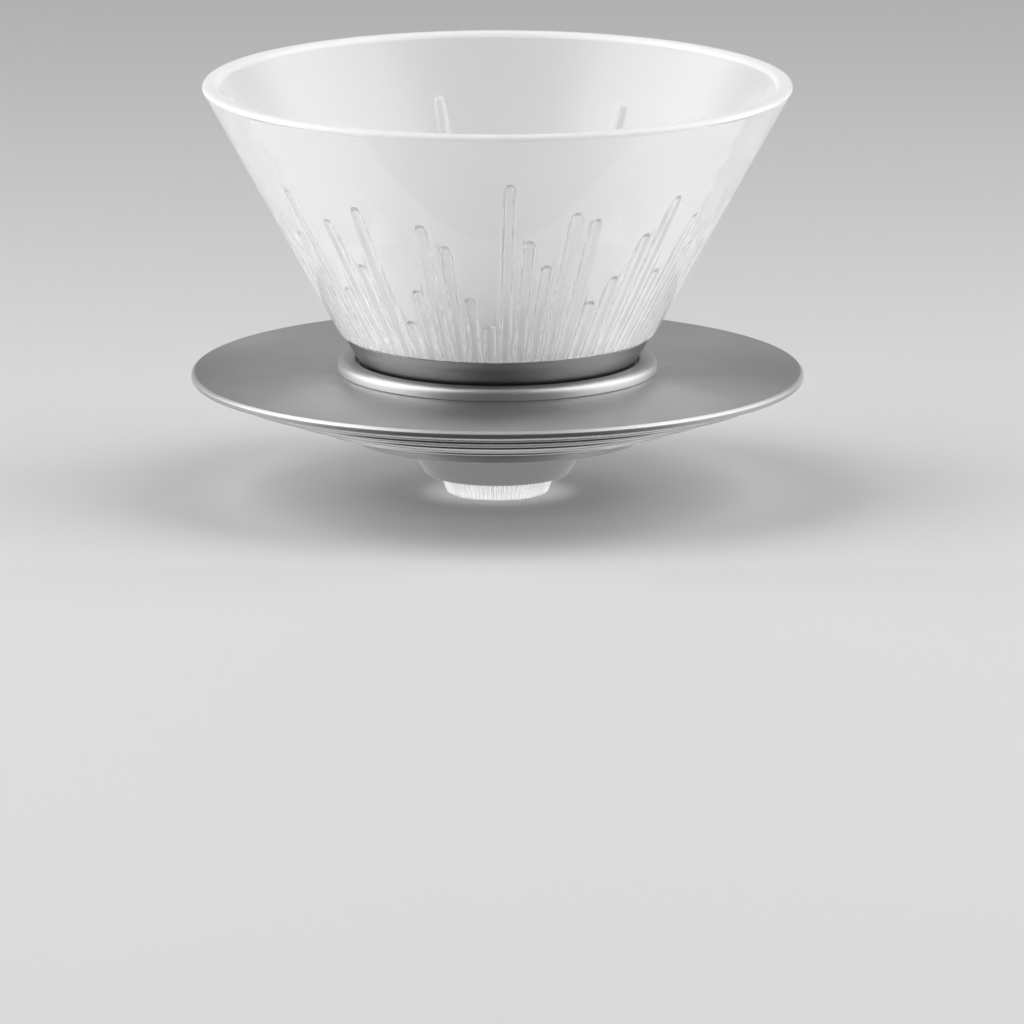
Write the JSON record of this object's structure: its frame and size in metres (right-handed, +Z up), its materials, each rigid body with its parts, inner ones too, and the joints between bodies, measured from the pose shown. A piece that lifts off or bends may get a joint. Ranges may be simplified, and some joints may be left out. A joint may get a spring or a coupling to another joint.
{
  "type": "pour over dripper",
  "caption": "Ribbed translucent cone that lifts out of a turned metal cup, carried by a wide round saucer with a stepped underside for a coffee server's mouth.",
  "frame": {"origin": "on the cone's axis, in the plane of the seat gasket's underside, which rests on the mouth of the server", "axes": "+Z up along the cone's axis, towards the rim; -Y towards the viewer, +X to the right"},
  "size_m": [0.12, 0.12, 0.0817],
  "materials": {
    "filter_cone": "clear, lightly frosted, ribbed inside",
    "cone_gasket": "translucent white silicone, matt",
    "outlet_o_ring": "translucent white silicone, matt",
    "holder_cup": "fine turned, satin anodised, dark grey",
    "clamp_ring": "bead blasted, satin anodised, light grey",
    "cup_seat_ring": "grey silicone, matt",
    "saucer_disc": "satin anodised with a bright cut edge",
    "disc_washer": "grey silicone, matt",
    "base_flange": "turned, satin anodised",
    "lock_ring": "turned, satin anodised",
    "seat_gasket": "grey silicone, matt"
  },
  "bodies": {
    "saucer": {"saucer_disc": "saucer_disc", "clamp_ring": "clamp_ring", "cup_seat_ring": "cup_seat_ring", "disc_washer": "disc_washer", "base_flange": "base_flange", "lock_ring": "lock_ring", "seat_gasket": "seat_gasket"},
    "cup": {"holder_cup": "holder_cup", "cone_gasket": "cone_gasket", "outlet_o_ring": "outlet_o_ring"},
    "cone": {"filter_cone": "filter_cone"}
  },
  "joints": [
    {"name": "cup_lift", "type": "slide", "parent": "saucer", "child": "cup", "axis": [0, 0, 1], "range_m": [0, 0.03]},
    {"name": "cone_lift", "type": "slide", "parent": "cup", "child": "cone", "axis": [0, 0, 1], "range_m": [0, 0.04]}
  ]
}
